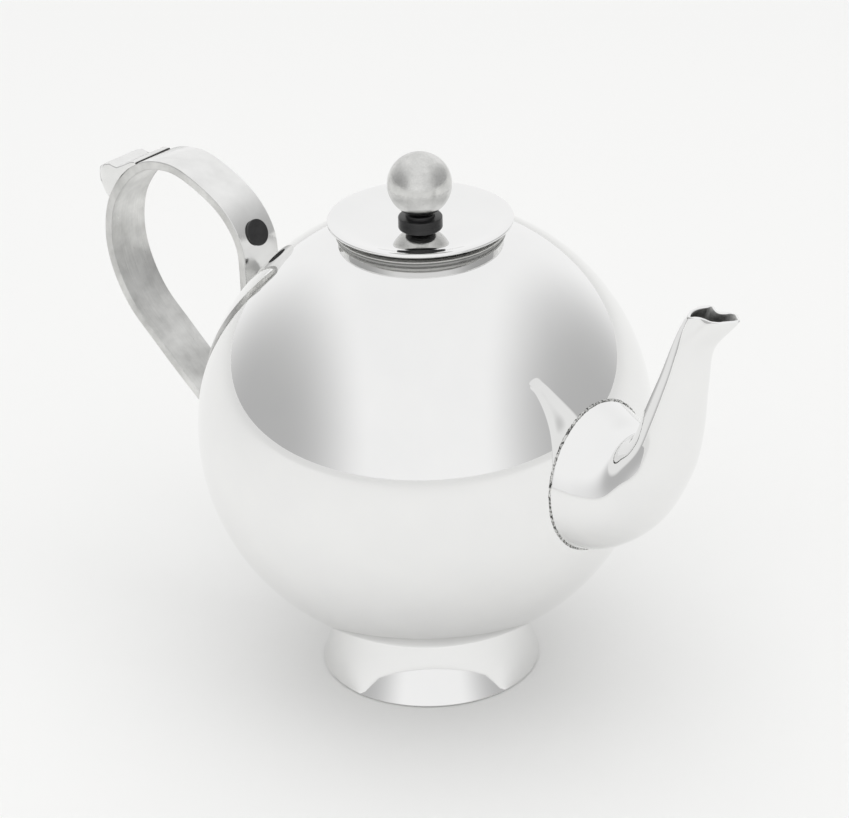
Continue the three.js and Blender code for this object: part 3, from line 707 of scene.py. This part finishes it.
# Thin stainless sheet, pickled and lightly rubbed: an even pale grey with a faint upright grain.
basket_steel, tree, out = finish_named("pickled_stainless_sheet")
place = node(tree, "ShaderNodeTexCoord").outputs["Object"]
upright = node(tree, "ShaderNodeMapping", None, {"Vector": place, "Scale": (1500.0, 1500.0, 40.0)})
rub = node(tree, "ShaderNodeTexNoise", None, {"Vector": upright.outputs["Vector"], "Scale": 1.0,
    "Detail": 2.0})
rub_tint = node(tree, "ShaderNodeValToRGB", None, {"Fac": rub.outputs["Fac"]})
rub_tint.color_ramp.elements[0].color = colour("#B4B4B1")
rub_tint.color_ramp.elements[1].color = colour("#DCDCDA")
rub_rough = node(tree, "ShaderNodeMapRange", None,
    {"Value": rub.outputs["Fac"], "To Min": 0.25, "To Max": 0.42})
steel = node(tree, "ShaderNodeBsdfPrincipled", None,
    {"Base Color": rub_tint.outputs["Color"], "Metallic": 1.0, "Roughness": rub_rough.outputs["Result"]})
tree.links.new(steel.outputs["BSDF"], out.inputs["Surface"])
basket_rim.data.materials.append(basket_steel)
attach(basket_rim, "basket")
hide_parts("basket_rim")
basket.data.materials.append(basket_steel)
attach(basket, "basket")
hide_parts("basket_wall")
floor_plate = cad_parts["basket_floor"]
floor_plate.data.materials.clear()
floor_plate.data.materials.append(basket_steel)

# ---------------------------------------------------------------------------------------------
# LID. A shallow dished disc of 1 mm sheet with a rounded edge, buffed to a mirror on top. Under it
# a stepped skirt sits on the basket's rim and reaches 10 mm down inside it.
# ---------------------------------------------------------------------------------------------
lid_sheet = 1
lid_dish = 1.4
lid_under = rim_top + 2.1
lid_top = lid_under + lid_sheet
lid_middle = lid_top - lid_dish
lid = turned([(2.1, lid_middle - 1), (17.0, lid_middle - 0.9), (22.0, lid_middle - 0.6),
    (25.0, lid_under), (28.4, lid_under), (28.65, lid_under + 0.12), (28.8, lid_under + 0.4),
    (28.8, lid_top - 0.4), (28.65, lid_top - 0.12), (28.4, lid_top), (27.4, lid_top - 0.08),
    (26.4, lid_top - 0.25), (25.4, lid_top - 0.49), (24.4, lid_top - 0.74), (23.4, lid_top - 0.97),
    (22.4, lid_top - 1.15), (21.4, lid_top - 1.28), (20.2, lid_top - 1.36), (18.6, lid_middle),
    (2.1, lid_middle), (2.1, lid_middle - 1)], 192)
settle(lid, "lid_plate", 40)
lid.data.materials.append(mirror_steel)
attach(lid, "lid")
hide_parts("lid_disc")

skirt_bottom = rim_top + 0.1
plug_r = 22 - 0.6 - 0.1 - 0.7
skirt = turned([(plug_r, skirt_bottom - 9.9), (plug_r, skirt_bottom - 0.2), (plug_r + 0.2, skirt_bottom),
    (24.8, skirt_bottom), (25.0, skirt_bottom + 0.2), (25.0, lid_under - 0.05), (24.2, lid_under - 0.05),
    (24.2, skirt_bottom + 0.8), (plug_r - 0.8, skirt_bottom + 0.8), (plug_r - 0.8, skirt_bottom - 9.9),
    (plug_r - 0.6, skirt_bottom - 10), (plug_r - 0.2, skirt_bottom - 10), (plug_r, skirt_bottom - 9.9)],
    160)
settle(skirt, "lid_step", 35)
skirt.data.materials.append(lathe_steel)
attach(skirt, "lid")
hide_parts("lid_skirt", "lid_plug")

# ---------------------------------------------------------------------------------------------
# KNOB. A 20 mm stainless ball on a black moulded washer that keeps the heat from it, drawn down on
# the lid by a screw from below with a plain washer under its head.
# ---------------------------------------------------------------------------------------------
knob_low, knob_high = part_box("knob_ball")
knob_r = 10 * MM
knob_z = knob_high[2] - knob_r
start_piece()
bpy.ops.mesh.primitive_uv_sphere_add(segments=96, ring_count=48, radius=knob_r, location=(axis_x, 0, knob_z))
ball = bpy.context.object
bpy.ops.object.mode_set(mode="EDIT")
bpy.ops.mesh.select_all(action="SELECT")
bpy.ops.mesh.bisect(plane_co=(axis_x, 0, knob_low[2]), plane_no=(0, 0, 1), clear_inner=True, use_fill=True)
bpy.ops.object.mode_set(mode="OBJECT")
settle(ball, "knob_sphere", 40)

# Stainless ball with a bead-blasted and lightly rubbed skin: a soft mirror broken up by fine grain.
# The real grain is near 0.1 mm and is drawn at 0.4 mm so that it shows.
grained_steel, tree, out = finish_named("fine_blasted_stainless_steel")
place = node(tree, "ShaderNodeTexCoord").outputs["Object"]
grit = node(tree, "ShaderNodeTexNoise", None, {"Vector": place, "Scale": 2200.0, "Detail": 3.0,
    "Roughness": 0.7})
cloud = node(tree, "ShaderNodeTexNoise", None, {"Vector": place, "Scale": 220.0, "Detail": 3.0})
cloud_tint = node(tree, "ShaderNodeValToRGB", None, {"Fac": cloud.outputs["Fac"]})
cloud_tint.color_ramp.elements[0].position = 0.3
cloud_tint.color_ramp.elements[0].color = colour("#D4D4D2")
cloud_tint.color_ramp.elements[1].position = 0.7
cloud_tint.color_ramp.elements[1].color = colour("#EEEEEC")
grit_tint = mixed(tree, "MULTIPLY", 0.3, cloud_tint.outputs["Color"], grit.outputs["Fac"])
grit_rough = node(tree, "ShaderNodeMapRange", None,
    {"Value": grit.outputs["Fac"], "To Min": 0.06, "To Max": 0.22})
grit_bump = node(tree, "ShaderNodeBump", None, {"Height": grit.outputs["Fac"], "Strength": 0.35,
    "Distance": 0.0001})
steel = node(tree, "ShaderNodeBsdfPrincipled", None,
    {"Base Color": grit_tint, "Metallic": 1.0, "Roughness": grit_rough.outputs["Result"],
    "Normal": grit_bump.outputs["Normal"]})
tree.links.new(steel.outputs["BSDF"], out.inputs["Surface"])
ball.data.materials.append(grained_steel)
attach(ball, "lid")
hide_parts("knob_ball")

washer_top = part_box("knob_washer")[1][2] * 1000
washer = turned([(6.85, lid_middle + 0.02), (6.85, washer_top - 1.2), (6.7, washer_top - 0.95),
    (6.4, washer_top - 0.85), (4.6, washer_top - 0.85), (4.5, washer_top), (2.1, washer_top),
    (2.1, lid_middle + 0.02), (6.85, lid_middle + 0.02)], 96)
settle(washer, "knob_insulator", 30)
washer.data.materials.append(black_nylon)
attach(washer, "lid")
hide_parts("knob_washer")
for name in ("spread_washer", "knob_screw"):
    hidden_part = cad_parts[name]
    hidden_part.data.materials.clear()
    hidden_part.data.materials.append(lathe_steel)

# ---------------------------------------------------------------------------------------------
# STUDIO. A plain pale table in a plain pale room, whose side walls are a little greyer than the rest,
# with soft light from overhead and from both sides of the camera.
# ---------------------------------------------------------------------------------------------
start_piece()
bpy.ops.mesh.primitive_circle_add(vertices=128, radius=12, fill_type="NGON", location=(axis_x, 0, -0.0002))
table = bpy.context.object
bpy.ops.object.transform_apply(location=True)
table.name = "table"

# Matt white laminate: an even, soft white with no shine to speak of.
white_table, tree, out = finish_named("matt_white_laminate")
board = node(tree, "ShaderNodeBsdfPrincipled", None, {"Base Color": colour("#F4F4F3"), "Roughness": 0.7})
tree.links.new(board.outputs["BSDF"], out.inputs["Surface"])
table.data.materials.append(white_table)

camera_turn = math.radians(40.5)
camera_rise = math.radians(26.975)
camera_roll = math.radians(1.502)
away = 1066.7 * MM
cam_right = Vector((math.cos(camera_turn), math.sin(camera_turn), 0))
cam_back = Vector((math.sin(camera_turn) * math.cos(camera_rise),
    -math.cos(camera_turn) * math.cos(camera_rise), math.sin(camera_rise)))
cam_up = cam_back.cross(cam_right)
eye = Vector((axis_x, 0, body_z)) + cam_back * away - cam_right * 0.26 * MM + cam_up * 4.29 * MM
rolled_right = cam_right * math.cos(camera_roll) - cam_up * math.sin(camera_roll)
rolled_up = cam_right * math.sin(camera_roll) + cam_up * math.cos(camera_roll)
lens = bpy.data.cameras.new("studio_camera")
lens.sensor_width = 36
lens.lens = 142.81
lens.clip_start = 0.01
camera = bpy.data.objects.new("studio_camera", lens)
bpy.context.scene.collection.objects.link(camera)
camera.matrix_world = Matrix([[rolled_right[i], rolled_up[i], cam_back[i],
    eye[i]] for i in range(3)] + [[0, 0, 0, 1]])
bpy.context.scene.camera = camera

world = bpy.data.worlds.new("pale_room")
bpy.context.scene.world = world
world.use_nodes = True
tree = world.node_tree
tree.nodes.clear()
way = node(tree, "ShaderNodeTexCoord").outputs["Generated"]
to_side = node(tree, "ShaderNodeVectorMath", {"operation": "DOT_PRODUCT"},
    {0: way, 1: cam_right}).outputs["Value"]
side_part = node(tree, "ShaderNodeMath", {"operation": "ABSOLUTE"}, {0: to_side}).outputs[0]
wall_shade = node(tree, "ShaderNodeMapRange", {"interpolation_type": "SMOOTHSTEP"},
                  {"Value": side_part, "From Min": 0.45, "From Max": 1.0, "To Min": 0.98, "To Max": 0.5})
room = node(tree, "ShaderNodeBackground", None, {"Color": wall_shade.outputs["Result"], "Strength": 1.0})
node(tree, "ShaderNodeOutputWorld", None, {"Surface": room.outputs[0]})

for name, turn, rise, reach, wide, tall, watts in (
        ("overhead_box", 0, 88, 1.5, 1.5, 1.5, 3.5),
        ("left_box", -62, 32, 1.5, 0.9, 1.3, 1.2),
        ("right_box", 62, 32, 1.5, 0.9, 1.3, 1.2)):
    box_light = bpy.data.lights.new(name, "AREA")
    box_light.shape = "RECTANGLE"
    box_light.size = wide
    box_light.size_y = tall
    box_light.energy = watts
    lamp = bpy.data.objects.new(name, box_light)
    lamp.visible_glossy = False
    along = camera_turn - math.pi / 2 + math.radians(turn)
    level_part = math.cos(math.radians(rise)) * reach
    stand = Vector((level_part * math.cos(along), level_part * math.sin(along),
        math.sin(math.radians(rise)) * reach))
    lamp.location = Vector((axis_x, 0, body_z)) + stand
    lamp.rotation_euler = stand.to_track_quat("Z", "Y").to_euler()
    bpy.context.scene.collection.objects.link(lamp)
bpy.context.scene.view_settings.view_transform = "Standard"
